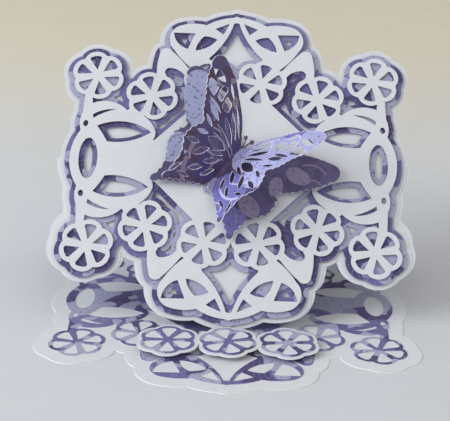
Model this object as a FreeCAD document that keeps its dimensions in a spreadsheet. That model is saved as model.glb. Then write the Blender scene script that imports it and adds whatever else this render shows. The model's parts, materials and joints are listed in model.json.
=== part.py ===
"""Easel card: a shaped card blank folded into an easel, with a layered die-cut plaque and a butterfly.

Frame: millimetres, +Z up, the plaque faces -Y, and the origin is on the table under the middle of
the base panel. Every medallion layer is the same pattern, drawn once about its own middle with
X across and Y up, and grown outwards for the layers behind it.
"""

import FreeCAD, Part
import math
import os

from FreeCAD import Placement, Rotation, Vector

# ---------------------------------------------------------------- driving dimensions

SIZES = (
    ("board_thick", 0.4, "thickness of the white card"),
    ("print_thick", 0.25, "thickness of the printed paper"),
    ("layer_pad_thick", 1.0, "foam pads between the layers of the plaque"),
    ("stopper_pad_thick", 2.2, "foam pads under the stopper strip"),
    ("butterfly_pad_thick", 1.6, "foam pad under the butterfly"),
    ("seat_gap", 0.05, "room between pieces that rest on each other"),
    ("toe_gap", 0.3, "room between the plaque's toe and the stopper's back edge"),
    ("grid_pitch", 1.0, "one square of the grid that the pattern is drawn on"),
    ("petal_reach", 13.4, "flower, from its middle to the tip of a petal"),
    ("petal_round", 6.6, "radius of a petal's round end"),
    ("corner_across", 70.0, "corner flower, across from the middle"),
    ("corner_up", 45.7, "corner flower, up from the middle"),
    ("inner_across", 42.0, "inner flower, across from the middle"),
    ("inner_up", 34.9, "inner flower, up from the middle"),
    ("near_across", 13.1, "flower by the middle line, across"),
    ("near_up", 42.9, "flower by the middle line, up"),
    ("lobe_reach", 81.4, "side lobe, from the middle to its edge"),
    ("crown_reach", 81.3, "crown, from the middle to its tip"),
    ("diamond_reach", 50.0, "middle diamond, from the middle to its point"),
    ("print_cut_wider", 0.5, "how much wider the printed flowers and crowns are cut on each side"),
    ("mat_margin", 2.6, "how far the mat stands out round the filigree"),
    ("backing_margin", 5.1, "how far the plaque backing stands out round the filigree"),
    ("blank_margin", 6.8, "how far the card blank stands out round the filigree"),
    ("layer_drop", 0.6, "how far the mat, with all that it carries, hangs below the backing's middle"),
    ("hinge_past", 1.3, "hinge fold, back from the tip of the base pattern's crown"),
    ("plaque_lean", 41.5, "lean of the plaque back from upright, in degrees"),
    ("leaf_long", 86.5, "leaf, from the middle fold to the toe"),
    ("fold_radius", 0.6, "outer radius of a fold"),
    ("stopper_forward", 46.2, "stopper flowers, forward from the middle of the base"),
    ("stopper_pitch", 27.7, "from one stopper flower to the next"),
    ("stopper_margin", 1.7, "white rim round a stopper flower"),
    ("pad_across", 9.0, "side of a square foam pad under a layer"),
    ("hub_pad_across", 3.6, "side of a small foam pad behind a flower's middle"),
    ("butterfly_turn", 52.7, "butterfly's head, turned from straight across"),
    ("base_wing_lift", 8.0, "lift of the printed wings, in degrees"),
    ("lace_wing_lift", 47.0, "lift of the pierced wings, in degrees"),
    ("butterfly_body_wide", 2.6, "width of the butterfly's body"),
    ("butterfly_pitch", 1.0, "one square of the grid that the wings are drawn on"),
)

doc = FreeCAD.newDocument("easel_card")
sheet = doc.addObject("Spreadsheet::Sheet", "sizes")
for line, (alias, value, meaning) in enumerate(SIZES, start=1):
    sheet.set("A%d" % line, meaning)
    sheet.set("B%d" % line, str(value))
    sheet.setAlias("B%d" % line, alias)
doc.recompute()


def size(alias):
    """One driving dimension, read from the sheet."""
    return float(sheet.get(alias))


def flat_piece(name, face, thickness, placement=Placement()):
    """A flat outline in the document, and the cut sheet of the sheet's thickness made from it."""
    drawing = doc.addObject("Part::Feature", name + "_outline")
    drawing.Shape = face
    piece = doc.addObject("Part::Extrusion", name)
    piece.Label = name
    piece.Base = drawing
    piece.DirMode = "Custom"
    piece.Dir = Vector(0, 0, 1)
    piece.Solid = True
    piece.setExpression("LengthFwd", "sizes." + thickness)
    piece.Placement = placement
    return piece


def fused(name, parts, placement=Placement()):
    """One solid from parts that meet."""
    piece = doc.addObject("Part::MultiFuse", name)
    piece.Label = name
    piece.Shapes = parts
    piece.Refine = True
    piece.Placement = placement
    return piece


def square_pads(name, middles, across, thickness):
    """Foam squares as boxes, each middle given by two formulas in the sheet's values."""
    pads = []
    for count, (x, y) in enumerate(middles, start=1):
        pad = doc.addObject("Part::Box", "%s_%d" % (name, count))
        pad.setExpression("Length", "sizes." + across)
        pad.setExpression("Width", "sizes." + across)
        pad.setExpression("Height", "sizes." + thickness)
        pad.setExpression("Placement.Base.x", "%s - sizes.%s / 2" % (x, across))
        pad.setExpression("Placement.Base.y", "%s - sizes.%s / 2" % (y, across))
        pads.append(pad)
    return pads


def group_of(name, members, placement=Placement()):
    """Separate solids that share one node."""
    piece = doc.addObject("Part::Compound", name)
    piece.Label = name
    piece.Links = members
    piece.Placement = placement
    return piece


def lifted(height):
    return Placement(Vector(0, 0, height), Rotation())


BOARD = size("board_thick")
PRINT = size("print_thick")
GRID = size("grid_pitch")
CORNER = (size("corner_across"), size("corner_up"))
INNER = (size("inner_across"), size("inner_up"))
NEAR = (size("near_across"), size("near_up"))
LOBE = size("lobe_reach")
CROWN = size("crown_reach")
HINGE_BACK = CROWN + size("hinge_past")

# ---------------------------------------------------------------- flat drawing


def facing_up(face):
    """The same flat face with its normal along +Z, which unions of faces need."""
    if face.normalAt(0, 0).z < 0:
        face.reverse()
    return face


def outline(start, *steps):
    """A flat face. Each step is a corner to run straight to, or (point on the arc, corner)."""
    here = Vector(*start)
    edges = []
    for step in steps + (start,):
        if isinstance(step[0], tuple):
            through, corner = step
            there = Vector(*corner)
            edges.append(Part.Arc(here, Vector(*through), there).toShape())
        else:
            there = Vector(*step)
            if there.distanceToPoint(here) > 1e-6:
                edges.append(Part.makeLine(here, there))
        here = there
    return facing_up(Part.Face(Part.Wire(edges)))


def grown(face, margin):
    """The face with its outline moved outwards, or inwards for a negative margin."""
    if margin == 0:
        return face
    return facing_up(face.makeOffset2D(margin).Faces[0])


def joined(faces):
    """One flat face from faces that overlap."""
    return facing_up(faces[0].fuse(faces[1:]).removeSplitter().Faces[0])


def filled(face):
    """The face without its holes."""
    return facing_up(Part.Face(face.OuterWire))


def mirrored_four(face):
    """The face in all four quarters of the pattern."""
    left = face.mirror(Vector(), Vector(1, 0, 0))
    pair = [face, left]
    pair += [one.mirror(Vector(), Vector(0, 1, 0)) for one in pair]
    return [facing_up(one.Faces[0]) for one in pair]


def mirrored_across(face):
    """The face and its mirror image on the other side of the middle."""
    return [face, facing_up(face.mirror(Vector(), Vector(1, 0, 0)).Faces[0])]


# ---------------------------------------------------------------- the flower

PETALS = 6
CORNER_TURN, INNER_TURN, NEAR_TURN = 20.0, 16.0, 15.0


def flower(middle, turn, margin=0.0):
    """Outline of a six-petalled flower: six arcs that meet in notches."""
    half = math.pi / PETALS
    radius = size("petal_round") + margin
    out = size("petal_reach") - size("petal_round")
    notch = out * math.cos(half) + math.sqrt(radius ** 2 - (out * math.sin(half)) ** 2)
    tip = out + radius

    def place(reach, angle):
        return Vector(middle[0] + reach * math.cos(angle), middle[1] + reach * math.sin(angle))

    edges = []
    for petal in range(PETALS):
        angle = math.radians(turn) + 2 * half * petal
        arc = Part.Arc(place(notch, angle - half), place(tip, angle), place(notch, angle + half))
        edges.append(arc.toShape())
    return facing_up(Part.Face(Part.Wire(edges)))


def petal_windows(middle, turn):
    """The six drop-shaped windows of a flower, each with its point towards the hub."""
    ring = 2.4 * GRID
    rim = size("petal_reach") - ring
    side = (0.79 * rim, 0.235 * rim)
    shoulder = (0.925 * rim, 0.25 * rim)
    corner = (0.98 * rim, 0.13 * rim)
    drop = outline(
        (0.285 * rim, 0),
        (side[0], -side[1]),
        ((shoulder[0], -shoulder[1]), (corner[0], -corner[1])),
        ((rim, 0), corner),
        (shoulder, side),
    )
    windows = []
    for petal in range(PETALS):
        window = drop.copy()
        window.Placement = Placement(
            Vector(*middle), Rotation(Vector(0, 0, 1), turn + 360.0 / PETALS * petal))
        windows.append(window)
    return windows


# ---------------------------------------------------------------- the pattern, one quarter


def grid(across, up):
    """A point of the pattern's grid."""
    return (across * GRID, up * GRID)


def near_point(anchor, across, up):
    """A point of the grid counted from a flower's middle."""
    return (anchor[0] + across * GRID, anchor[1] + up * GRID)


def diamond():
    """The plain middle, up to the flowers by the middle line."""
    reach = size("diamond_reach")
    top = NEAR[1] - 2 * GRID
    return outline((0, 0), (reach, 0), (reach - top * 0.8, top * 0.8), (8 * GRID, top), (0, top))


def side_plate():
    """Side lobe, stem to the corner flower, arch over the leaf window and the leaf's frame."""
    return outline(
        grid(30, 0),
        (LOBE, 0),
        ((LOBE - 1.9 * GRID, 10 * GRID), (LOBE - 4.5 * GRID, 15 * GRID)),
        (near_point(CORNER, 7.6, -26.2), near_point(CORNER, 6.4, -20.7)),
        near_point(CORNER, 5.9, -9.7),
        near_point(CORNER, 2.2, -9.7),
        near_point(CORNER, 1.8, -15.8),
        (near_point(CORNER, -6.0, -14.5), near_point(INNER, 12.0, -8.5)),
        near_point(INNER, 8.0, -4.9),
        near_point(INNER, 4.2, -11.0),
        (near_point(INNER, -0.6, -15.5), near_point(INNER, -2.7, -19.9)),
        (near_point(INNER, -2.6, -22.1), near_point(INNER, -1.5, -24.5)),
        grid(30, 11),
    )


def horn():
    """The plain horn between the inner flower and the crown."""
    return outline(
        near_point(INNER, -1.6, 7.0),
        near_point(INNER, -1.8, 13.4),
        (near_point(INNER, -2.0, 19.0), near_point(INNER, -3.0, 24.1)),
        (near_point(INNER, -5.8, 27.1), near_point(INNER, -9.0, 25.7)),
        (near_point(INNER, -13.6, 21.1), near_point(NEAR, 11.2, 8.1)),
        near_point(NEAR, 8.0, 5.6),
        near_point(NEAR, 12.0, 2.5),
        (near_point(INNER, -12.5, 15.0), near_point(INNER, -9.0, 15.9)),
        (near_point(INNER, -6.4, 14.9), near_point(INNER, -6.8, 11.6)),
        near_point(INNER, -6.0, 7.0),
    )


def crown():
    """Half of the crown, from its tip to the slit beside the horn."""
    return outline(
        (0, CROWN - 3.7 * GRID),
        (1.4 * GRID, CROWN - 4.1 * GRID),
        ((6.5 * GRID, CROWN - 15.5 * GRID), near_point(NEAR, 0.4, 14.3)),
        near_point(NEAR, 0.9, 9.0),
        near_point(NEAR, 5.9, 5.0),
        near_point(NEAR, 9.7, 8.4),
        (near_point(NEAR, 16.1, 14.7), (32.0 * GRID, CROWN - 19.7 * GRID)),
        ((34.3 * GRID, CROWN - 12.1 * GRID), (30.0 * GRID, CROWN - 6.3 * GRID)),
        ((23.0 * GRID, CROWN - 4.7 * GRID), (15.6 * GRID, CROWN - 5.4 * GRID)),
        ((9.0 * GRID, CROWN - 2.2 * GRID), (1.8 * GRID, CROWN - 0.7 * GRID)),
        (0, CROWN),
    )


def lattice(margin=0.0):
    """The pattern's solid parts, all four quarters, with their outlines grown by a margin."""
    faces = []
    for quarter in (diamond(), side_plate(), horn(), crown()):
        faces += mirrored_four(grown(quarter, margin))
    for middle, turn in ((CORNER, CORNER_TURN), (INNER, INNER_TURN), (NEAR, NEAR_TURN)):
        faces += mirrored_four(flower(middle, turn, margin))
    return joined(faces)


# ---------------------------------------------------------------- the pattern's windows


def side_window():
    """The upright oval in the side lobe."""
    middle = Vector(LOBE - 9.2 * GRID, 0)
    wide, high = Vector(4.7 * GRID, 0), Vector(0, 10.9 * GRID)
    oval = Part.Ellipse(middle + high, middle + wide, middle)
    return facing_up(Part.Face(Part.Wire(oval.toShape())))


def leaf_window():
    """The leaf beside the side lobe."""
    return outline(
        grid(41.3, 14.7),
        (grid(52.5, 9.6), grid(63.3, 9.1)),
        (grid(65.3, 12.6), grid(68.8, 17.6)),
        (grid(54.5, 20.2), grid(41.3, 14.7)),
    )


def crescent_window():
    """The thin slit over the leaf."""
    return outline(
        grid(59.5, 26.8),
        (grid(66.0, 24.6), grid(70.9, 21.7)),
        grid(71.3, 23.8),
        (grid(66.0, 26.3), grid(59.5, 26.8)),
    )


def drop_window():
    """The small drop under the corner flower's stem."""
    return outline(
        grid(74.3, 17.0),
        (grid(75.9, 18.4), grid(75.6, 19.6)),
        (grid(74.5, 20.5), grid(73.4, 19.6)),
        (grid(73.3, 18.4), grid(74.3, 17.0)),
    )


def crown_point(across, down):
    """A point of the grid counted from the crown's tip."""
    return (across * GRID, CROWN - down * GRID)


def crown_windows():
    """Three curved triangles in half of the crown."""
    outer = outline(
        crown_point(21.2, 10.2),
        crown_point(24.9, 19.4),
        (crown_point(30.2, 15.9), crown_point(32.4, 10.8)),
        (crown_point(32.5, 10.3), crown_point(31.9, 10.1)),
    )
    inner = outline(
        crown_point(9.8, 13.6),
        (crown_point(14.4, 18.0), crown_point(20.9, 20.2)),
        (crown_point(19.3, 15.1), crown_point(16.5, 11.8)),
        (crown_point(13.2, 12.2), crown_point(9.8, 13.6)),
    )
    top = outline(
        crown_point(3.7, 4.1),
        (crown_point(5.2, 7.6), crown_point(6.8, 10.7)),
        crown_point(11.1, 7.4),
    )
    return [outer, inner, top]


def pattern_windows(wider):
    """Every window of the filigree, with the petals and the crown's windows cut wider by a margin."""
    quarter = [leaf_window(), crescent_window(), drop_window()]
    quarter += [grown(window, wider) for window in crown_windows()]
    for middle, turn in ((CORNER, CORNER_TURN), (INNER, INNER_TURN), (NEAR, NEAR_TURN)):
        quarter += [grown(window, wider) for window in petal_windows(middle, turn)]
    windows = []
    for window in quarter:
        windows += mirrored_four(window)
    return windows + mirrored_across(side_window())


def filigree_face(wider=0.0):
    return facing_up(lattice().cut(pattern_windows(wider)).Faces[0])


def mat_face():
    """The grown pattern, with a smaller window behind each large one of the filigree."""
    inset = -size("mat_margin")
    windows = []
    for window in [leaf_window()] + crown_windows()[:1]:
        windows += mirrored_four(grown(window, inset))
    windows += mirrored_across(grown(side_window(), inset))
    return facing_up(lattice(size("mat_margin")).cut(windows).Faces[0])


# ---------------------------------------------------------------- the folded blank, side view


def easel_side_view():
    """Corners of the folded card's middle line in the YZ plane, and the slopes of leaf and strut.

    The leaf stands on the base panel with its toe tucked against the stopper: the backing on its
    front passes the stopper strip's upper back edge with the toe gap to spare.
    """
    leaf_angle = math.radians(90 - size("plaque_lean"))
    toe_up = BOARD + PRINT + size("seat_gap") + BOARD / 2
    stop_back = size("petal_reach") + size("stopper_margin") - size("stopper_forward")
    stop_up = BOARD + PRINT + size("stopper_pad_thick") + BOARD
    clearance = BOARD / 2 + BOARD + size("toe_gap")
    toe_back = stop_back + (clearance - (stop_up - toe_up) * math.cos(leaf_angle)) / math.sin(leaf_angle)
    leaf = size("leaf_long")
    fold = (toe_back + leaf * math.cos(leaf_angle), toe_up + leaf * math.sin(leaf_angle))
    hinge = (HINGE_BACK, BOARD / 2)
    strut_angle = math.atan2(fold[1] - hinge[1], hinge[0] - fold[0])
    return fold, hinge, leaf_angle, strut_angle


FOLD, HINGE, LEAF_ANGLE, STRUT_ANGLE = easel_side_view()
STRUT_LONG = math.dist(FOLD, HINGE)


def clipped(face, low, high):
    """The part of a pattern face between two heights."""
    reach = 2 * (LOBE + size("blank_margin"))
    band = outline((-reach, low), (reach, low), (reach, high), (-reach, high))
    return facing_up(face.common(band).Faces[0])


def fold_set_back(turn):
    """How far a panel stops short of the sharp corner that its fold rounds off."""
    middle_radius = size("fold_radius") - BOARD / 2
    return middle_radius * math.tan(turn / 2)


def half_width_at(face, height):
    """Half the width of a pattern face at a height."""
    reach = 2 * (LOBE + size("blank_margin"))
    cut = face.common(Part.makeLine(Vector(-reach, height), Vector(reach, height)))
    return cut.BoundBox.XMax


def panel_placement(corner, angle):
    """A panel's frame: on a corner of the side view, with half the card below the middle line."""
    turn = Rotation(Vector(1, 0, 0), math.degrees(angle))
    return Placement(Vector(0, corner[0], corner[1]), turn).multiply(lifted(-BOARD / 2))


def fold_strip(name, corner, angle_in, turn, half_width):
    """A rounded fold: part of a pipe of card along X, from one panel's edge to the next."""
    outer = size("fold_radius")
    inner = outer - BOARD
    middle_radius = outer - BOARD / 2
    back = fold_set_back(turn)

    def ring(radius, angle):
        return Vector(-half_width, radius * math.sin(angle), middle_radius - radius * math.cos(angle))

    edges = [
        Part.Arc(ring(outer, 0), ring(outer, turn / 2), ring(outer, turn)).toShape(),
        Part.makeLine(ring(outer, turn), ring(inner, turn)),
        Part.Arc(ring(inner, turn), ring(inner, turn / 2), ring(inner, 0)).toShape(),
        Part.makeLine(ring(inner, 0), ring(outer, 0)),
    ]
    start = Vector(0, corner[0] - back * math.cos(angle_in), corner[1] - back * math.sin(angle_in))
    strip = doc.addObject("Part::Feature", name)
    strip.Shape = Part.Face(Part.Wire(edges)).extrude(Vector(2 * half_width, 0, 0))
    strip.Placement = Placement(start, Rotation(Vector(1, 0, 0), math.degrees(angle_in)))
    return strip


def shifted(face, up):
    """A copy of a pattern face moved along Y."""
    moved = face.copy()
    moved.translate(Vector(0, up, 0))
    return moved


def easel_blank():
    """Base panel, hinge fold, strut, middle fold and leaf, all one piece of card."""
    face = filled(lattice(size("blank_margin")))
    tip = face.BoundBox.YMax
    hinge_turn = math.pi - STRUT_ANGLE
    middle_turn = STRUT_ANGLE + LEAF_ANGLE
    hinge_stop = fold_set_back(hinge_turn)
    middle_stop = fold_set_back(middle_turn)
    hinge_half = half_width_at(face, HINGE_BACK)

    base_face = clipped(face, -tip, HINGE[0] - hinge_stop)
    # the strut hangs from the middle fold, and its crown is cut off by the hinge
    strut_face = clipped(shifted(face, STRUT_LONG - HINGE_BACK), middle_stop, STRUT_LONG - hinge_stop)
    # the leaf hangs from the middle fold, and its crown is the toe
    leaf_face = clipped(shifted(face, tip - size("leaf_long")), -tip, -middle_stop)
    middle_half = half_width_at(leaf_face, -middle_stop)
    return fused("easel_blank", [
        flat_piece("base_panel", base_face, "board_thick", panel_placement((0, HINGE[1]), 0)),
        flat_piece("strut_panel", strut_face, "board_thick", panel_placement(FOLD, -STRUT_ANGLE)),
        flat_piece("leaf_panel", leaf_face, "board_thick", panel_placement(FOLD, LEAF_ANGLE)),
        fold_strip("hinge_fold", HINGE, 0, hinge_turn, hinge_half),
        fold_strip("middle_fold", FOLD, math.pi - STRUT_ANGLE, middle_turn, middle_half),
    ])


# ---------------------------------------------------------------- the plaque's layers


def plaque_heights():
    """Height of each layer's back over the leaf's middle line, from the leaf outwards."""
    heights = {}
    height = BOARD / 2
    for name, thickness in (
        ("plaque_backing", "board_thick"),
        ("mat_pads", "layer_pad_thick"),
        ("plaque_mat", "print_thick"),
        ("filigree_pads", "layer_pad_thick"),
        ("plaque_filigree", "board_thick"),
        ("butterfly_pad", "butterfly_pad_thick"),
        ("butterfly_base", "print_thick"),
        ("room under the lace", "seat_gap"),
        ("butterfly_lace", "print_thick"),
    ):
        heights[name] = height
        height += size(thickness)
    return heights


HEIGHTS = plaque_heights()
CENTRED_ON_BACKING = ("plaque_backing", "mat_pads")


def plaque_placement(layer):
    """Where a layer's own frame sits: its middle, near the middle fold, leaning with the leaf."""
    turn = Rotation(Vector(1, 0, 0), math.degrees(LEAF_ANGLE))
    backing_up = CROWN + size("backing_margin") - size("leaf_long") + size("seat_gap")
    up = backing_up if layer in CENTRED_ON_BACKING else backing_up - size("layer_drop")
    lift = turn.multVec(Vector(0, up, HEIGHTS[layer]))
    return Placement(Vector(0, FOLD[0], FOLD[1]) + lift, turn)


def in_quarters(across, up):
    """The formulas of a point in all four quarters."""
    return [(side + "sizes." + across, rise + "sizes." + up) for side in ("", "-") for rise in ("", "-")]


PLAIN_PLACES = [("0", "14 * sizes.grid_pitch"), ("0", "-14 * sizes.grid_pitch"),
                ("57 * sizes.grid_pitch", "0"), ("-57 * sizes.grid_pitch", "0")]
FLOWER_PLACES = (in_quarters("corner_across", "corner_up")
                 + in_quarters("inner_across", "inner_up")
                 + in_quarters("near_across", "near_up"))


def mat_pads():
    """Pads between the backing and the mat: under the plain middle and under every flower."""
    pads = square_pads("mat_pad", PLAIN_PLACES + FLOWER_PLACES, "pad_across", "layer_pad_thick")
    return group_of("mat_pads", pads, plaque_placement("mat_pads"))


def filigree_pads():
    """Pads between the mat and the filigree: small ones hide behind the flowers' hubs."""
    large = square_pads("middle_pad", PLAIN_PLACES, "pad_across", "layer_pad_thick")
    small = square_pads("hub_pad", FLOWER_PLACES, "hub_pad_across", "layer_pad_thick")
    return group_of("filigree_pads", large + small, plaque_placement("filigree_pads"))


# ---------------------------------------------------------------- the stopper

STOPPER_STEPS = (-1, 0, 1)
STOPPER_TURNS = (30.0, 45.0, 35.0)
STOPPER_LOW = BOARD + PRINT
STRIP_LOW = STOPPER_LOW + size("stopper_pad_thick")


def stopper_flower_faces(margin=0.0):
    """The three flowers of the stopper, with the middle and the turn of each."""
    row = []
    for step, turn in zip(STOPPER_STEPS, STOPPER_TURNS):
        middle = (step * size("stopper_pitch"), -size("stopper_forward"))
        row.append((flower(middle, turn, margin), middle, turn))
    return row


def stopper_pads():
    middles = [("%d * sizes.stopper_pitch" % step, "-sizes.stopper_forward") for step in STOPPER_STEPS]
    pads = square_pads("stopper_pad", middles, "pad_across", "stopper_pad_thick")
    return group_of("stopper_pads", pads, lifted(STOPPER_LOW))


def stopper_strip():
    """The white strip of three overlapping flowers."""
    flowers = [face for face, middle, turn in stopper_flower_faces(size("stopper_margin"))]
    return flat_piece("stopper_strip", joined(flowers), "board_thick", lifted(STRIP_LOW))


def stopper_flowers():
    """A pierced printed flower on each flower of the strip."""
    pierced = []
    for face, middle, turn in stopper_flower_faces():
        windows = [grown(window, size("print_cut_wider")) for window in petal_windows(middle, turn)]
        pierced.append(facing_up(face.cut(windows).Faces[0]))
    return flat_piece("stopper_flowers", Part.makeCompound(pierced), "print_thick",
                      lifted(STRIP_LOW + BOARD))


# ---------------------------------------------------------------- the butterfly, drawn flat

STEP = size("butterfly_pitch")
BODY_HALF = size("butterfly_body_wide") / 2
ROOT_FRONT, ROOT_BACK = 7, -17


def wing_point(out, forward):
    """A point of a wing: out from its root, and forward along the body."""
    return (out * STEP, forward * STEP)


def scalloped(start, through, end, count, depth):
    """Steps along an arc that break it into scallops, inwards for a negative depth."""
    arc = Part.Arc(Vector(*start), Vector(*through), Vector(*end)).toShape()
    middle = arc.Curve.Center
    stops = arc.discretize(2 * count + 1)
    steps = []
    for crest, corner in zip(stops[1::2], stops[2::2]):
        crest += (crest - middle).normalize() * depth
        steps.append(((crest.x, crest.y), (corner.x, corner.y)))
    return steps


def wing_face():
    """One wing pair of one side, cut as one: forewing, hindwing and tail, with scalloped edges."""
    root_front, root_back = wing_point(0, ROOT_FRONT), wing_point(0, ROOT_BACK)
    apex_front, apex_back = wing_point(40, 28.3), wing_point(45.5, 20.5)
    notch = wing_point(26.5, -1)
    lobe_end = wing_point(27, -17)
    tail_front, tail_back = wing_point(23.6, -31), wing_point(20.4, -33.6)
    inner_end = wing_point(2, -20.5)
    depth = 0.35 * STEP
    steps = [(wing_point(20.5, 20.5), apex_front), (wing_point(45.2, 26.6), apex_back)]
    steps += scalloped(apex_back, wing_point(37.3, 8.6), notch, 13, depth)
    steps += scalloped(notch, wing_point(30, -9), lobe_end, 8, depth)
    steps += scalloped(lobe_end, wing_point(23.6, -23.6), tail_front, 7, -depth)
    steps += [(wing_point(22.9, -34.1), tail_back)]
    steps += scalloped(tail_back, wing_point(11, -26.2), inner_end, 10, -depth)
    steps += [root_back]
    return outline(root_front, *steps)


def lens(near, far, wide):
    """A pointed oval window between two points of the wing."""
    a, b = Vector(*wing_point(*near)), Vector(*wing_point(*far))
    across = (b - a).cross(Vector(0, 0, 1)).normalize() * (wide * STEP / 2)
    middle = (a + b) / 2
    right, left = middle + across, middle - across
    return outline((a.x, a.y), ((right.x, right.y), (b.x, b.y)), ((left.x, left.y), (a.x, a.y)))


def fan(hub, rays, bands):
    """Windows between the veins of a wing: rays from a hub, each split into bands."""
    windows = []
    for angle, reach in rays:
        direction = (math.cos(math.radians(angle)), math.sin(math.radians(angle)))
        for low, high, wide in bands:
            near = tuple(hub[i] + direction[i] * reach * low for i in (0, 1))
            far = tuple(hub[i] + direction[i] * reach * high for i in (0, 1))
            windows.append(lens(near, far, wide * reach / 40))
    return windows


def wing_windows():
    """Pierced windows: a fan in the forewing and another in the hindwing."""
    fore = fan((2.0, 3.5), ((30, 42), (22, 44.5), (13, 39), (4, 31.5)),
               ((0.25, 0.52, 1.6), (0.56, 0.75, 3.0), (0.79, 0.93, 2.8)))
    hind = fan((1.5, -4.0), ((-7, 27), (-21, 27), (-36, 26), (-50, 29), (-65, 24)),
               ((0.26, 0.55, 2.4), (0.61, 0.78, 3.6), (0.84, 0.93, 2.8)))
    return fore + hind


def body_face(head, tail):
    """The narrow body: straight between the wings' roots, with a round head and a tapered end."""
    half, neck = BODY_HALF, 0.8 * BODY_HALF
    shoulder, hip = ROOT_FRONT * STEP, ROOT_BACK * STEP
    front, back = head * STEP, tail * STEP
    return outline(
        (-half, shoulder),
        (-half, hip),
        (-neck, back + STEP),
        ((0, back), (neck, back + STEP)),
        (half, hip),
        (half, shoulder),
        ((0, front), (-half, shoulder)),
    )


def butterfly_placement(layer):
    """The plaque layer's placement, turned so that the head points up and to the right."""
    turn = Placement(Vector(), Rotation(Vector(0, 0, 1), size("butterfly_turn") - 90))
    return plaque_placement(layer).multiply(turn)


def folded_butterfly(name, wing, body, lift):
    """A cut butterfly with both wings turned up along the body's edges, one piece of paper."""
    hinge = Placement(Vector(BODY_HALF, 0, 0), Rotation(Vector(0, 1, 0), -lift))
    right = flat_piece(name + "_wing", wing, "print_thick", hinge)
    left = doc.addObject("Part::Mirroring", name + "_other_wing")
    left.Source = right
    left.Normal = Vector(1, 0, 0)
    middle = flat_piece(name + "_body", body, "print_thick")
    return fused(name, [middle, right, left], butterfly_placement(name))


def butterfly_pad():
    pad = square_pads("body_pad", [("0", "0")], "pad_across", "butterfly_pad_thick")
    return group_of("butterfly_pad", pad, butterfly_placement("butterfly_pad"))


def butterfly_base():
    """The solid printed butterfly."""
    return folded_butterfly("butterfly_base", wing_face(), body_face(9, -23), size("base_wing_lift"))


def antenna(side):
    """A thin strip from the head that ends in a small round ball of card."""
    half = 0.35 * STEP
    root, bend, end = Vector(0.5, 8.5) * STEP, Vector(0.8, 10.8) * STEP, Vector(2.0, 12.8) * STEP
    aside = Vector(half, 0)
    strip = outline(
        (root.x - half, root.y),
        ((bend.x - half, bend.y), (end.x - half, end.y)),
        (end.x + half, end.y),
        ((bend.x + half, bend.y), (root.x + half, root.y)),
    )
    ball = Part.Face(Part.Wire(Part.makeCircle(0.9 * STEP, end)))
    whole = joined([strip, facing_up(ball)])
    return whole if side > 0 else facing_up(whole.mirror(Vector(), Vector(1, 0, 0)).Faces[0])


def butterfly_lace():
    """The pierced butterfly on top, with its antennae."""
    wing = facing_up(wing_face().cut(wing_windows()).Faces[0])
    body = joined([body_face(9.5, -20), antenna(1), antenna(-1)])
    return folded_butterfly("butterfly_lace", wing, body, size("lace_wing_lift"))


# ---------------------------------------------------------------- the pieces

filigree = filigree_face()
printed_filigree = filigree_face(size("print_cut_wider"))
backing = filled(lattice(size("backing_margin")))
pieces = [
    easel_blank(),
    flat_piece("base_filigree", printed_filigree, "print_thick", lifted(BOARD)),
    stopper_pads(),
    stopper_strip(),
    stopper_flowers(),
    flat_piece("plaque_backing", backing, "board_thick", plaque_placement("plaque_backing")),
    mat_pads(),
    flat_piece("plaque_mat", mat_face(), "print_thick", plaque_placement("plaque_mat")),
    filigree_pads(),
    flat_piece("plaque_filigree", filigree, "board_thick", plaque_placement("plaque_filigree")),
    butterfly_pad(),
    butterfly_base(),
    butterfly_lace(),
]

# ---------------------------------------------------------------- check and write

doc.recompute()
for item in doc.Objects:
    faults = {"Invalid", "Error"} & set(item.State)
    if faults:
        raise RuntimeError("%s is %s" % (item.Label, ", ".join(sorted(faults))))
os.makedirs("parts", exist_ok=True)
for piece in pieces:
    if piece.Shape.isNull() or not piece.Shape.isValid():
        raise RuntimeError("%s has no valid shape" % piece.Label)
for piece in pieces:
    piece.Shape.exportStep("parts/%s.step" % piece.Label)
    box = piece.Shape.BoundBox
    print("%-16s solids %2d  volume %8.1f  x %6.1f %6.1f  y %6.1f %6.1f  z %6.1f %6.1f" % (
        piece.Label, len(piece.Shape.Solids), piece.Shape.Volume,
        box.XMin, box.XMax, box.YMin, box.YMax, box.ZMin, box.ZMax))
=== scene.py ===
# %% [markdown]
# # An easel card with a layered medallion and a paper butterfly
#
# The real thing is a piece of papercraft. A white card blank is folded into an easel, a medallion of
# three cut layers is glued to its front, and a butterfly of two layers sits in the middle. The flat
# layers already have their true outline, so this script gives them their paper, their print and their
# light. It models only the butterfly anew, because curled paper wings aren't flat.
#
# We start with the model that everything else is placed on.

# %% Load the card
import json
import math

import bmesh
import bpy
from mathutils import Matrix, Vector

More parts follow.
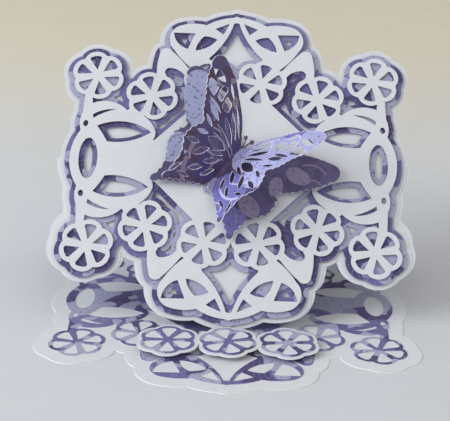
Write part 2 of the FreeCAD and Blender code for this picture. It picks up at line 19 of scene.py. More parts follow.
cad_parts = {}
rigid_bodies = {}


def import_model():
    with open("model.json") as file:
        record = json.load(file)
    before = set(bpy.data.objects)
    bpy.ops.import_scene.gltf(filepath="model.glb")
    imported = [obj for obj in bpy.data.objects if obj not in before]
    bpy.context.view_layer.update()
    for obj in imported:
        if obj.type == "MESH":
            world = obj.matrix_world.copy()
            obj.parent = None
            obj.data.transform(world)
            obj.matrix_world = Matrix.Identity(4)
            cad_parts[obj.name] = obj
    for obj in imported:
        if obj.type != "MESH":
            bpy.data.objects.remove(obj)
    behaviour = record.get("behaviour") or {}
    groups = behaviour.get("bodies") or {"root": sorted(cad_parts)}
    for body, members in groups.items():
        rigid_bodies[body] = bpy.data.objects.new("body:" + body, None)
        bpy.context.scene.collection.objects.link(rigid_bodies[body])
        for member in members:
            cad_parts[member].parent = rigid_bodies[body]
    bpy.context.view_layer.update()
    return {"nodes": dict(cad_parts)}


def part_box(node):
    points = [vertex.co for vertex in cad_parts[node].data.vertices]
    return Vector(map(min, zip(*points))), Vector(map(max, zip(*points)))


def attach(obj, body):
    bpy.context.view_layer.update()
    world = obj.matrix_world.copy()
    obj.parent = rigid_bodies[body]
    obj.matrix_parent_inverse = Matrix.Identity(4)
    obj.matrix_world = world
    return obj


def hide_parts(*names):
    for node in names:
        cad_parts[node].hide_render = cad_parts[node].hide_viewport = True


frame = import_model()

MM = 0.001

nodes = frame["nodes"]
print("pieces of the card:", ", ".join(sorted(nodes)))

# %% [markdown]
# ## Where the plaque is
#
# The plaque leans back, and its print has to lie in its own plane. We could write its angle down as a
# number, but then the print wouldn't follow when the model changes. So we read it from the highest
# layer's box: the layer is a flat sheet, and its height and its depth give the slope. From that slope we
# make the three directions of the plaque: across, up along the sheet, and out of the sheet.

# %% Directions of the plaque
low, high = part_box("plaque_filigree")
SLOPE = math.atan2(high.z - low.z, high.y - low.y)
ACROSS = Vector((1, 0, 0))
UP_SHEET = Vector((0, math.cos(SLOPE), math.sin(SLOPE)))
OUT_OF_SHEET = ACROSS.cross(UP_SHEET)
MIDDLE = (low + high) / 2
print("the plaque rises at %.1f degrees, its middle is at %s mm"
      % (math.degrees(SLOPE), [round(v / MM, 1) for v in MIDDLE]))

# %% [markdown]
# ## Materials: making nodes
#
# Blender builds a material as a graph of nodes. The graph can be drawn by hand in the shader editor, but
# a script can be read and run again. Writing every link out is long, so these helpers add a node, set its
# sockets and link them. A value can be a number, a colour or another node's output.

# %% Node helpers
def new_material(name):
    """An empty material, its node tree and its Principled shader."""
    material = bpy.data.materials.new(name)
    material.use_nodes = True
    tree = material.node_tree
    return material, tree, tree.nodes["Principled BSDF"]


def connect(tree, value, socket):
    """Links an output to a socket, or writes a constant into it."""
    if isinstance(value, bpy.types.NodeSocket):
        tree.links.new(value, socket)
    else:
        socket.default_value = value


def add(tree, kind, settings=None, **inputs):
    """A node with its settings and its inputs, given by name with _ for a space."""
    node = tree.nodes.new(kind)
    for key, value in (settings or {}).items():
        setattr(node, key, value)
    for key, value in inputs.items():
        connect(tree, value, node.inputs[key.replace("_", " ")])
    return node


print("helpers that make nodes: new_material, connect, add")

# %% [markdown]
# ## Materials: small sums
#
# A few sums come back in every material: arithmetic on a number or on a place, a mix of two colours, and
# a soft threshold that turns a grey noise into a shape with an edge. Each gets a short name here, so that
# the materials below read like a recipe. A Mix node keeps sockets for numbers, vectors and colours side
# by side under the same names, so its colour sockets are found by their places in the row.

# %% Sums on nodes
MIX_FACTOR, MIX_A, MIX_B, MIX_RESULT = 0, 6, 7, 2


def maths(tree, operation, *values):
    """A number worked out from one or two others."""
    node = add(tree, "ShaderNodeMath", {"operation": operation})
    for socket, value in zip(node.inputs, values):
        connect(tree, value, socket)
    return node.outputs[0]


def place_maths(tree, operation, *values):
    """A place worked out from other places, or a number where the operation gives one."""
    node = add(tree, "ShaderNodeVectorMath", {"operation": operation})
    for socket, value in zip(node.inputs, values):
        connect(tree, value, socket)
    return node.outputs["Value" if operation in ("DOT_PRODUCT", "LENGTH") else "Vector"]


def mixed(tree, factor, a, b):
    """Colour a where factor is 0, colour b where it is 1."""
    node = add(tree, "ShaderNodeMix", {"data_type": "RGBA"})
    for index, value in ((MIX_FACTOR, factor), (MIX_A, a), (MIX_B, b)):
        connect(tree, value, node.inputs[index])
    return node.outputs[MIX_RESULT]


def step_between(tree, value, low, high):
    """0 below low, 1 above high, and smooth between."""
    node = add(tree, "ShaderNodeMapRange", {"interpolation_type": "SMOOTHSTEP"},
               Value=value, From_Min=low, From_Max=high)
    return node.outputs["Result"]


print("helpers for sums: maths, place_maths, mixed, step_between")

# %% [markdown]
# ## Materials: colours
#
# A paper's colour is easiest to judge as it looks on a screen, from 0 to 255. Blender works with linear
# light instead, and its colour picker hides that step. In a script we take the step ourselves, with the
# standard curve between the two.

# %% Colours
def colour(red, green, blue):
    """A colour as it is seen on a screen, from 0 to 255, as the linear values that Blender uses."""
    def linear(v):
        v /= 255
        return v / 12.92 if v <= 0.04045 else ((v + 0.055) / 1.055) ** 2.4
    return (linear(red), linear(green), linear(blue), 1)


print("a screen grey of 188 is %.2f in linear light" % colour(188, 188, 188)[0])

# %% [markdown]
# ## Sheet coordinates
#
# A print lies in the plane of its sheet. A UV map could carry it, but these layers have none, and a
# filigree with a hundred windows is slow to unwrap. Turned object coordinates do the same: X runs across
# the sheet, Y up it and Z out of it. The base lies flat and the plaque leans, so there are two turns. The
# unit is the millimetre, so every pattern below is sized as on the real paper.

# %% Coordinates in the plane of a sheet
FLAT = Matrix.Identity(3)
LEANING = Matrix((ACROSS, UP_SHEET, OUT_OF_SHEET))


def sheet_coordinates(tree, turn):
    """Millimetres across, up and out of a sheet whose three directions are the rows of turn."""
    place = add(tree, "ShaderNodeTexCoord").outputs["Object"]
    x, y, z = (place_maths(tree, "DOT_PRODUCT", place, row / MM) for row in turn)
    return add(tree, "ShaderNodeCombineXYZ", X=x, Y=y, Z=z).outputs[0]


print("sheets: flat base and a plaque leaning %.1f degrees" % (90 - math.degrees(SLOPE)))

# %% [markdown]
# ## Cut edges
#
# Printed paper is white inside, and that shows as a pale line wherever it is cut. On the white card the
# cut edges get a brighter white, a painted highlight for the light that the edges catch. We could pick
# every edge face and give it a second material. The surface's own direction is simpler: a face of the
# sheet points out of it, and a cut edge points along it.

# %% Cut edges
FACE_OR_EDGE = 0.5


def cut_edge(tree, turn):
    """1 on the cut edges of a sheet, 0 on its two faces."""
    out_of_sheet = turn[2]
    normal = add(tree, "ShaderNodeNewGeometry").outputs["True Normal"]
    facing = maths(tree, "ABSOLUTE", place_maths(tree, "DOT_PRODUCT", normal, out_of_sheet))
    return maths(tree, "LESS_THAN", facing, FACE_OR_EDGE)


print("a surface turned more than %.0f degrees from its sheet counts as a cut edge"
      % math.degrees(math.acos(FACE_OR_EDGE)))

# %% [markdown]
# ## White card
#
# Card is white but never one flat value. Its fibres give a faint cloudiness a few millimetres wide and a
# fine tooth that breaks the light. A picture of paper could show both, but it needs a file and shows its
# seams. Noise at two sizes has neither fault: one mixes two whites that are almost alike, and the other is
# a very shallow bump. The cut edge is painted brighter than the face, a painted highlight for the light
# that the edges catch.

# %% White card
CARD_WHITE = colour(207, 210, 216)
CARD_SHADE = colour(203, 206, 213)
# The brighter white of the card's cut edges is a painted highlight, for the light that the edges catch.
CARD_EDGE_HIGHLIGHT = colour(240, 241, 243)


def paper_tooth(tree, place, scale, depth):
    """The fine unevenness of paper as a bump, with its depth in millimetres."""
    fibre = add(tree, "ShaderNodeTexNoise", Vector=place, Scale=scale, Detail=4.0, Roughness=0.65)
    bump = add(tree, "ShaderNodeBump", Strength=0.35, Distance=depth * MM, Height=fibre.outputs["Fac"])
    return bump.outputs[0]


def white_card(name, turn):
    material, tree, shader = new_material(name)
    place = sheet_coordinates(tree, turn)
    cloud = add(tree, "ShaderNodeTexNoise", Vector=place, Scale=0.16, Detail=5.0, Roughness=0.6)
    shade = step_between(tree, cloud.outputs["Fac"], low=0.35, high=0.7)
    face = mixed(tree, shade, CARD_WHITE, CARD_SHADE)
    # The cut edges get the painted highlight.
    connect(tree, mixed(tree, cut_edge(tree, turn), face, CARD_EDGE_HIGHLIGHT), shader.inputs["Base Color"])
    shader.inputs["Roughness"].default_value = 0.72
    shader.inputs["Specular IOR Level"].default_value = 0.3
    connect(tree, paper_tooth(tree, place, scale=3.0, depth=0.02), shader.inputs["Normal"])
    return material


def dress(names, material):
    """Gives some nodes of the card one material."""
    for name in names:
        slots = nodes[name].data.materials
        slots.clear()
        slots.append(material)


dress(["easel_blank", "stopper_strip"], white_card("white_card_flat", FLAT))
dress(["plaque_backing", "plaque_filigree"], white_card("white_card_leaning", LEANING))
print("white card on blank, strip, backing and filigree")

# %% [markdown]
# ## Foam pads
#
# Small squares of foam hold the layers apart, which is why each layer throws a soft shadow on the next.
# Only the pads' sides can be seen, deep between two layers, and modelled bubbles would be lost there. A
# soft white with coarse Voronoi cells and a little bump is enough.

# %% Foam pads
def foam(name):
    material, tree, shader = new_material(name)
    place = sheet_coordinates(tree, FLAT)
    bubble = add(tree, "ShaderNodeTexVoronoi", Vector=place, Scale=2.2).outputs["Distance"]
    shade = step_between(tree, bubble, low=0.1, high=0.6)
    connect(tree, mixed(tree, shade, colour(196, 196, 198), colour(226, 226, 226)),
            shader.inputs["Base Color"])
    shader.inputs["Roughness"].default_value = 0.9
    bump = add(tree, "ShaderNodeBump", Strength=0.5, Distance=0.1 * MM, Height=bubble)
    connect(tree, bump.outputs[0], shader.inputs["Normal"])
    return material


dress(["stopper_pads", "mat_pads", "filigree_pads", "butterfly_pad"], foam("white_foam"))
print("foam on four sets of pads")

# %% [markdown]
# ## Printed paper: fields in three tones
#
# The printed paper is tonal: fields of lilac, mid violet and deep violet overlap like cut shapes. They
# could be drawn one by one, but Voronoi cells already tile a sheet, and a slow noise added to the
# coordinates bends their straight borders. Each cell has a random colour, whose red value picks the tone.
# Round pebbles, from a finer set of cells, lie over the fields.

# %% Fields of the print
PRINT_DARK = colour(76, 67, 112)
PRINT_MIDDLE = colour(103, 98, 147)
PRINT_LILAC = colour(158, 159, 187)
FIELD_SCALE = 0.072
FIELD_BEND = 9
PEBBLE_SCALE = 1.6 * FIELD_SCALE


def scattered(tree, place, scale, radius, channel, above):
    """1 inside round spots, 0 outside. A cell has a spot where its random colour is above a value."""
    cells = add(tree, "ShaderNodeTexVoronoi", {"voronoi_dimensions": "2D"}, Vector=place, Scale=scale)
    inside = maths(tree, "LESS_THAN", cells.outputs["Distance"], radius)
    chance = add(tree, "ShaderNodeSeparateColor", Color=cells.outputs["Color"]).outputs[channel]
    return maths(tree, "MULTIPLY", inside, maths(tree, "GREATER_THAN", chance, above))


def fields(tree, place):
    """The colour of the fields, and where they are lilac."""
    bend = add(tree, "ShaderNodeTexNoise", Vector=place, Scale=0.09, Detail=1.0)
    bent = place_maths(tree, "MULTIPLY_ADD", bend.outputs["Color"], (FIELD_BEND, FIELD_BEND, 0), place)
    cells = add(tree, "ShaderNodeTexVoronoi", {"voronoi_dimensions": "2D", "feature": "SMOOTH_F1"},
                Vector=bent, Scale=FIELD_SCALE, Smoothness=0.12)
    chance = add(tree, "ShaderNodeSeparateColor", Color=cells.outputs["Color"]).outputs["Red"]
    tone = mixed(tree, step_between(tree, chance, low=0.30, high=0.34), PRINT_DARK, PRINT_MIDDLE)
    pebble = scattered(tree, bent, PEBBLE_SCALE, radius=0.34, channel="Green", above=0.5)
    lilac = maths(tree, "MAXIMUM", step_between(tree, chance, low=0.60, high=0.64), pebble)
    return mixed(tree, lilac, tone, PRINT_LILAC), lilac


print("fields about %.0f mm wide, their borders bent by up to %d mm" % (1 / FIELD_SCALE, FIELD_BEND))

# %% [markdown]
# ## Printed paper: speckles and thin curves
#
# Fine dark speckles lie in the lilac fields and thin pale curves in the darker ones. The speckles are
# scattered spots like the pebbles, only much smaller. A curve could be drawn as a line, but a level line
# of a slow noise wanders by itself, as the height lines on a map do. So we fold the noise's value back
# and forth, and keep only the narrow part next to each fold.

# %% Speckles and curves
PRINT_LINE = colour(160, 158, 198)
SPECKLE_INK = 0.7
CURVE_INK = 0.6
CURVE_LEVELS = 9.0
CURVE_FOLD = 0.5
CURVE_WIDTH = 0.028


def tonal_print(tree, place):
    """Overlapping fields in three tones, with speckles and thin curves. Returns a colour."""
    tone, lilac = fields(tree, place)
    dots = scattered(tree, place, scale=0.42, radius=0.16, channel="Blue", above=0.6)
    speckle = maths(tree, "MULTIPLY", maths(tree, "MULTIPLY", dots, lilac), SPECKLE_INK)
    tone = mixed(tree, speckle, tone, PRINT_DARK)

    wander = add(tree, "ShaderNodeTexNoise", {"noise_dimensions": "2D"},
                 Vector=place, Scale=0.07, Detail=0.5)
    levels = maths(tree, "MULTIPLY", wander.outputs["Fac"], CURVE_LEVELS)
    curve = maths(tree, "LESS_THAN", maths(tree, "PINGPONG", levels, CURVE_FOLD), CURVE_WIDTH)
    not_lilac = maths(tree, "SUBTRACT", 1.0, lilac)
    line = maths(tree, "MULTIPLY", maths(tree, "MULTIPLY", curve, not_lilac), CURVE_INK)
    return mixed(tree, line, tone, PRINT_LINE)


print("speckles at %.0f%% ink in the lilac, curves at %.0f%% in the violet"
      % (100 * SPECKLE_INK, 100 * CURVE_INK))

# %% [markdown]
# ## Printed paper: on its layers
#
# The base medallion, the stopper's flowers and the plaque's mat are cut from the same kind of sheet, but
# not from the same place on it. One shared material would show the same fields twice, so each of the two
# moves the pattern by some centimetres. The paper's white core, tinted a little by the ink, shows on the
# cut edges.

# %% Printed layers
PRINT_CORE = colour(192, 191, 206)


def printed_paper(name, turn, offset):
    material, tree, shader = new_material(name)
    place = sheet_coordinates(tree, turn)
    in_sheet = place_maths(tree, "MULTIPLY", place_maths(tree, "ADD", place, offset), (1, 1, 0))
    face = tonal_print(tree, in_sheet)
    connect(tree, mixed(tree, cut_edge(tree, turn), face, PRINT_CORE), shader.inputs["Base Color"])
    shader.inputs["Roughness"].default_value = 0.62
    shader.inputs["Specular IOR Level"].default_value = 0.35
    connect(tree, paper_tooth(tree, place, scale=3.5, depth=0.015), shader.inputs["Normal"])
    return material


print_flat = printed_paper("violet_print_flat", FLAT, offset=(13, 41, 0))
print_leaning = printed_paper("violet_print_leaning", LEANING, offset=(57, 5, 0))
dress(["base_filigree", "stopper_flowers"], print_flat)
dress(["plaque_mat", "butterfly_base", "butterfly_lace"], print_leaning)
print("printed paper on base, stopper, mat and butterfly")

# %% [markdown]
# ## The butterfly: arcs and bites
#
# The model's butterfly has flat wings with plain edges. Real ones curl, and a die leaves their edges
# finely toothed, so we build both layers again. They are drawn flat first, in millimetres. A spline needs
# handles that are hard to guess. An arc through three points needs only places on the edge, and a row of
# shallow bites along such an arc leaves the teeth.

# %% Arcs and bites
BITE_DEPTH = 0.7
BITE_POINTS = 4


def circle(start, through, end):
    """The middle and the radius of the circle through three points."""
    (ax, ay), (bx, by), (cx, cy) = start, through, end
    d = 2 * (ax * (by - cy) + bx * (cy - ay) + cx * (ay - by))
    a, b, c = ax * ax + ay * ay, bx * bx + by * by, cx * cx + cy * cy
    middle = Vector((a * (by - cy) + b * (cy - ay) + c * (ay - by),
                     a * (cx - bx) + b * (ax - cx) + c * (bx - ax))) / d
    return middle, (Vector(start) - middle).length


def arc(start, through, end, count):
    """Points on the circle through three points, from after start up to end."""
    middle, radius = circle(start, through, end)
    first, half, last = (math.atan2(y - middle.y, x - middle.x) for x, y in (start, through, end))
    sweep = (last - first) % (2 * math.pi)
    if (half - first) % (2 * math.pi) > sweep:
        sweep -= 2 * math.pi
    angles = [first + sweep * i / count for i in range(1, count + 1)]
    return [(middle.x + radius * math.cos(t), middle.y + radius * math.sin(t)) for t in angles]


def bites(start, through, end, count):
    """An arc broken into shallow bites, which leave small teeth between them."""
    stops = [Vector(p) for p in [start] + arc(start, through, end, 2 * count)]
    points = []
    for a, b in zip(stops[0::2], stops[2::2]):
        chord = b - a
        inward = Vector((chord.y, -chord.x)).normalized() * BITE_DEPTH
        points += arc(tuple(a), tuple((a + b) / 2 + inward), tuple(b), BITE_POINTS)
    return points


print("a row of 5 bites has %d points" % len(bites((0, 0), (5, 1), (10, 0), 5)))

# %% [markdown]
# ## The butterfly: its outline
#
# One half of the butterfly is enough, and its mirror image is the other. The outline starts at the head,
# follows the long front edge to the wing's tip, comes back in along the toothed outer edges of forewing
# and hindwing, and ends at the tail of the body. Wing points are given from the body's edge, because that
# is where a wing folds up.

# %% Outline of a butterfly
BODY_HALF = 1.3
WAIST = -17
TIP_FRONT, TIP_BACK = (40.0, 28.4), (45.5, 20.5)
NOTCH, HIND_CORNER = (27.8, -1.0), (28.2, -16.6)
TAIL_OUT, TAIL_IN, HIND_ROOT = (24.4, -31.4), (20.8, -33.4), (2.0, -21.0)


def right_half(head, tail):
    """One side of a butterfly, from its head round the wing to the end of its body."""
    shoulder = head - 1.6
    wing = arc((0, shoulder), (20.2, 21.5), TIP_FRONT, 14)
    wing += arc(TIP_FRONT, (45.4, 26.4), TIP_BACK, 8)
    wing += bites(TIP_BACK, (37.4, 8.4), NOTCH, 9)
    wing += bites(NOTCH, (31.0, -9.0), HIND_CORNER, 5)
    wing += bites(HIND_CORNER, (24.4, -23.6), TAIL_OUT, 4)
    wing += arc(TAIL_OUT, (23.4, -34.4), TAIL_IN, 5)
    wing += bites(TAIL_IN, (11.4, -26.6), HIND_ROOT, 6)
    body_front = [(0, head), (0.8 * BODY_HALF, head - 0.6), (BODY_HALF, shoulder)]
    body_back = [(BODY_HALF, WAIST), (0.8 * BODY_HALF, tail + 1), (0, tail)]
    return body_front + [(x + BODY_HALF, y) for x, y in wing] + body_back


def whole(half):
    """The right half and its mirror image as one closed row."""
    return half + [(-x, y) for x, y in reversed(half[1:-1])]


base_outline = whole(right_half(head=9.0, tail=-23.0))
lace_outline = whole(right_half(head=9.5, tail=-20.0))
print("an outline has %d points and is %.0f mm wide" % (len(base_outline), 2 * max(base_outline)[0]))

# %% [markdown]
# ## The butterfly: the shapes of its windows
#
# The upper layer is pierced between its veins. Boolean cuts could open the windows in the finished wing,
# but they are slow and leave ragged faces on thin paper. It is easier to draw each window as a closed row
# of points before the sheet exists. Two shapes are enough: a pointed slit and a cell with soft corners.

# %% Slits and cells
SLIT_POINTS = 8
CORNER_SHARE = 0.3
CORNER_STEPS = (0, 0.25, 0.5, 0.75, 1)


def slit(start, end, wide, belly=0.5):
    """A pointed oval between two points, widest at a share of its length."""
    a, b = Vector(start), Vector(end)
    along = b - a
    aside = Vector((-along.y, along.x)).normalized() * (wide / 2)
    middle = a + along * belly
    return (arc(tuple(a), tuple(middle - aside), tuple(b), SLIT_POINTS)
            + arc(tuple(b), tuple(middle + aside), tuple(a), SLIT_POINTS))


def cell(*corners):
    """A cell with its corners rounded off."""
    shape = []
    for before, here, after in zip(corners[-1:] + corners[:-1], corners, corners[1:] + corners[:1]):
        here = Vector(here)
        start, end = here.lerp(Vector(before), CORNER_SHARE), here.lerp(Vector(after), CORNER_SHARE)
        for t in CORNER_STEPS:
            shape.append(tuple(start.lerp(here, t).lerp(here.lerp(end, t), t)))
    return shape


def both_sides(shapes):
    """Shapes drawn on a right wing, moved to the body's edge, and mirrored."""
    right = [[(x + BODY_HALF, y) for x, y in shape] for shape in shapes]
    return right + [[(-x, y) for x, y in shape] for shape in right]


print("a slit has %d points, a cell with four corners %d" % (2 * SLIT_POINTS, 4 * len(CORNER_STEPS)))

# %% [markdown]
# ## The butterfly: where its windows are
#
# Long slits fan out from the body, and wider cells sit near the tip of the forewing. The hindwing has a
# large drop by the body and a row of small slits along its edge. They are set out one by one, because
# veins that grow by a rule look too even for a wing.

# %% Windows of the lace
fore_windows = [
    slit((4.6, 9.3), (19.0, 17.9), wide=1.0, belly=0.6),
    slit((5.4, 6.9), (18.8, 14.2), wide=1.9, belly=0.62),
    slit((6.0, 4.2), (19.4, 9.8), wide=2.6, belly=0.62),
    slit((5.6, 1.8), (20.4, 4.4), wide=1.9, belly=0.6),
    cell((20.4, 11.6), (25.6, 10.8), (26.8, 17.0), (21.6, 16.6)),
    cell((27.4, 11.8), (31.4, 12.6), (32.2, 19.4), (28.2, 19.6)),
    cell((32.8, 10.8), (38.8, 12.2), (40.4, 16.6), (33.6, 17.6)),
    slit((33.0, 20.8), (42.4, 20.0), wide=3.4),
    slit((21.0, 5.8), (31.4, 7.8), wide=2.6, belly=0.45),
    slit((23.4, 9.0), (34.6, 9.6), wide=1.8),
    slit((22.4, 18.9), (30.0, 22.6), wide=1.3),
    slit((22.0, 0.9), (28.8, 3.2), wide=1.9),
]
hind_windows = [
    slit((6.6, -0.6), (19.8, -3.6), wide=4.4, belly=0.7),
    slit((5.2, -3.0), (13.4, -7.4), wide=2.0, belly=0.6),
    slit((5.0, -6.2), (12.6, -13.6), wide=2.6, belly=0.6),
    slit((14.2, -6.4), (20.6, -15.4), wide=2.9, belly=0.55),
    slit((21.4, -2.6), (27.4, -5.8), wide=2.1),
    slit((21.0, -8.8), (28.6, -12.2), wide=2.4),
    slit((3.6, -11.0), (7.8, -18.6), wide=2.3),
    slit((10.6, -15.6), (16.0, -21.2), wide=2.3),
    slit((19.6, -17.6), (25.2, -17.6), wide=1.9),
    slit((12.2, -23.6), (19.6, -26.8), wide=1.7),
    slit((20.8, -21.6), (23.2, -29.8), wide=1.9),
]
print("%d windows in a forewing, %d in a hindwing" % (len(fore_windows), len(hind_windows)))

# %% [markdown]
# ## The butterfly: filling its outline
#
# The drawn rows of points have to become paper with windows in it. A single face can't have holes, but a
# flat curve object can: it fills its outer row of points and leaves the inner rows open. We let it do
# that, take its mesh and throw the curve away.

# %% Filled outline
SAME_POINT = 1e-4


def put_in_scene(name, data):
    """A new object in the scene, at the origin."""
    thing = bpy.data.objects.new(name, data)
    bpy.context.scene.collection.objects.link(thing)
    return thing


def filled(outlines):
    """The first row of points as a flat mesh, with the others cut out of it."""
    curve = bpy.data.curves.new("drawing", "CURVE")
    curve.dimensions = "2D"
    curve.fill_mode = "BOTH"
    for points in outlines:
        spline = curve.splines.new("POLY")
        spline.points.add(len(points) - 1)
        for knot, (x, y) in zip(spline.points, points):
            knot.co = (x, y, 0, 1)
        spline.use_cyclic_u = True
    drawing = put_in_scene("drawing", curve)
    graph = bpy.context.evaluated_depsgraph_get()
    mesh = bpy.data.meshes.new_from_object(drawing.evaluated_get(graph))
    bm = bmesh.new()
    bm.from_mesh(mesh)
    for leftover in (drawing, curve, mesh):
        bpy.data.batch_remove([leftover])
    bmesh.ops.remove_doubles(bm, verts=bm.verts, dist=SAME_POINT)
    return bm


sample = filled([slit((0, 0), (10, 0), wide=3)])
print("a slit with %d points is filled with %d triangles" % (len(sample.verts), len(sample.faces)))
sample.free()

# %% [markdown]
# ## The butterfly: a sheet that can bend
#
# The fill is made of long thin triangles. Paper made of those would crease from window to window when it
# bends. A remesh would even them out, but it also rounds off the teeth and the points of the slits. So we
# cut the sheet along a square grid, which leaves the outline as it is, and read off points and faces.

# %% A sheet that can bend
def cut_in_squares(bm, step):
    """Cuts a flat mesh along lines a step apart, both ways."""
    for axis in (0, 1):
        values = [v.co[axis] for v in bm.verts]
        line = math.ceil(min(values) / step) * step
        while line < max(values):
            spot, normal = [0, 0, 0], [0, 0, 0]
            spot[axis], normal[axis] = line, 1
            bmesh.ops.bisect_plane(bm, geom=bm.verts[:] + bm.edges[:] + bm.faces[:],
                                   dist=SAME_POINT, plane_co=spot, plane_no=normal)
            line += step


def flat_sheet(outlines, step):
    """The points of a drawing, and its faces as rings of points that all turn the same way."""
    bm = filled(outlines)
    cut_in_squares(bm, step)
    bm.verts.index_update()
    points = [tuple(v.co.xy) for v in bm.verts]
    rings = []
    for face in bm.faces:
        ring = [v.index for v in face.verts]
        rings.append(ring if face.normal.z > 0 else ring[::-1])
    bm.free()
    return points, rings


grid_points, grid_faces = flat_sheet([slit((0, 0), (10, 0), wide=3)], step=1.0)
print("the same slit on a grid has %d points and %d faces" % (len(grid_points), len(grid_faces)))

# %% [markdown]
# ## The butterfly: bent paper
#
# Bending is one function: it takes a place in the flat drawing and says where that point of the paper
# ends up. A Solidify modifier could then give the sheet its thickness. We place both sides ourselves
# instead, half a thickness to each side of the bend, because the points can then carry notes for the
# material: those on the rim are marked, for the paper's white core, and each point keeps its place in the
# drawing, for the print.

# %% Bent paper
PAPER = 0.25
NEARBY = 0.01
SHARP_ANGLE = 40


def two_sides(flat, bend, stand):
    """The lower and the upper point of the paper at each point of the drawing, in metres."""
    lower, upper = [], []
    for x, y in flat:
        here = bend(x, y)
        normal = (bend(x + NEARBY, y) - here).cross(bend(x, y + NEARBY) - here).normalized()
        lower.append(stand @ ((here - normal * PAPER / 2) * MM))
        upper.append(stand @ ((here + normal * PAPER / 2) * MM))
    return lower, upper


def bent_paper(name, outlines, bend, stand, step=1.0):
    """A sheet of paper drawn flat and bent: bend(x, y) gives a point in millimetres."""
    flat, rings = flat_sheet(outlines, step)
    lower, upper = two_sides(flat, bend, stand)
    count = len(flat)
    sides = dict.fromkeys(pair for ring in rings for pair in zip(ring, ring[1:] + ring[:1]))
    rim = [(b, b + count, a + count, a) for a, b in sides if (b, a) not in sides]
    underside = [ring[::-1] for ring in rings]
    upperside = [[i + count for i in ring] for ring in rings]
    mesh = bpy.data.meshes.new(name)
    mesh.from_pydata(lower + upper, [], underside + upperside + rim)
    drawn = mesh.attributes.new("drawn", "FLOAT_VECTOR", "POINT")
    for item, (x, y) in zip(drawn.data, flat + flat):
        item.vector = (x, y, 0)
    core = mesh.attributes.new("core", "FLOAT", "POINT")
    for i in {i for face in rim for i in face}:
        core.data[i].value = 1
    mesh.shade_smooth()
    mesh.set_sharp_from_angle(angle=math.radians(SHARP_ANGLE))
    return put_in_scene(name, mesh)


print("paper is %.2f mm thick" % PAPER)

# %% [markdown]
# ## The butterfly: rolled wings
#
# A wing that only turns about its fold looks like stiff board. Cloth simulation would bend it, but not to
# a pose that we choose. Here the wing is rolled: its angle changes evenly from the body to the tip, so
# every line out from the body is part of a circle. A low ripple along the wing and a droop of the tail
# make it look handled. Both start at nothing by the body, where the two layers are glued.

# %% Rolled wings
WING_LENGTH = 45
RIPPLE_FORWARD, RIPPLE_OUT = 0.42, 0.11
RIPPLE_GROWS, DROOP_GROWS = 25, 15
DROOP_START, DROOP_LENGTH = 8, 20


def rolled(root_angle, tip_angle, wave, droop=0.0):
    """A wing that leaves the body at one angle and ends at another, in degrees."""
    start = math.radians(root_angle)
    bend_rate = math.radians(tip_angle - root_angle) / WING_LENGTH

    def roll(out, forward):
        end = start + bend_rate * out
        across = (math.sin(end) - math.sin(start)) / bend_rate
        high = (math.cos(start) - math.cos(end)) / bend_rate
        ripple = wave * math.sin(RIPPLE_FORWARD * forward + RIPPLE_OUT * out) * min(out / RIPPLE_GROWS, 1)
        behind = max(-forward - DROOP_START, 0) / DROOP_LENGTH
        lift = ripple - droop * behind ** 2 * min(out / DROOP_GROWS, 1)
        return across - math.sin(end) * lift, high + math.cos(end) * lift
    return roll


def butterfly_bend(left, right, height=0.0):
    """The body lies flat at a height, and each wing is rolled up from its edge."""
    def bend(x, y):
        out = abs(x) - BODY_HALF
        if out <= 0:
            return Vector((x, y, height))
        across, high = (right if x > 0 else left)(out, y)
        return Vector((math.copysign(BODY_HALF + across, x), y, height + high))
    return bend


print("a wing rolled from 58 to 43 degrees has its tip %.0f mm up"
      % rolled(58, 43, wave=0)(WING_LENGTH, 0)[1])

# %% [markdown]
# ## The butterfly: where it sits
#
# The butterfly sits over the middle of the plaque, on its foam pad, and its head points to the upper
# right. Moving and turning its object would be the usual way. But every piece of this card has its object
# at the origin, so the place goes into the points: one matrix turns the drawing's right, forward and up
# into the directions of wing, head and sheet, and moves it onto the pad.

# %% Place of the butterfly
HEADING = 52.7
PAD_TOP = 1.8
UP_FROM_MIDDLE = 0.5

turned = math.radians(HEADING - 90)
HEAD = math.cos(turned) * UP_SHEET - math.sin(turned) * ACROSS
WING = math.cos(turned) * ACROSS + math.sin(turned) * UP_SHEET
FLY = Matrix((WING, HEAD, OUT_OF_SHEET)).transposed().to_4x4()
FLY.translation = MIDDLE + (OUT_OF_SHEET * (PAD_TOP + PAPER / 2) + UP_SHEET * UP_FROM_MIDDLE) * MM
print("the head points %.0f degrees up from level, and the pad's top is %.1f mm over the filigree's middle"
      % (HEADING, PAD_TOP))

# %% [markdown]
# ## The butterfly: both layers
#
# The printed layer lies almost flat and curls up a little at its tips. The lace stands up steeply on both
# sides, the left wing more than the right one. Two short feelers with a ball at the end rise from its
# head. They are strips of the same paper, so the same function bends them, with a finer grid because they
# are small.

# %% Two butterflies
LACE_HEIGHT = 0.3
BALL_MIDDLE, BALL_RADIUS = (2.0, 12.6), 1.15
BALL_FROM, BALL_STEP, BALL_POINTS = -120, 24, 12
CURL_START, CURL = 9, 0.06


def feeler(side):
    """A short strip from the head, with a ball at its end."""
    turns = [math.radians(BALL_FROM + BALL_STEP * i) for i in range(1, BALL_POINTS + 1)]
    ball = [(BALL_MIDDLE[0] + BALL_RADIUS * math.cos(t), BALL_MIDDLE[1] + BALL_RADIUS * math.sin(t))
            for t in turns]
    strip = [(0.1, 8.4), (0.95, 8.4), (1.3, 10.4), (1.9, 11.5)] + ball + [(1.0, 11.9), (0.4, 10.6)]
    return [(side * x, y) for x, y in strip]


def feeler_bend(x, y):
    return Vector((x, y, LACE_HEIGHT + CURL * max(y - CURL_START, 0) ** 2))


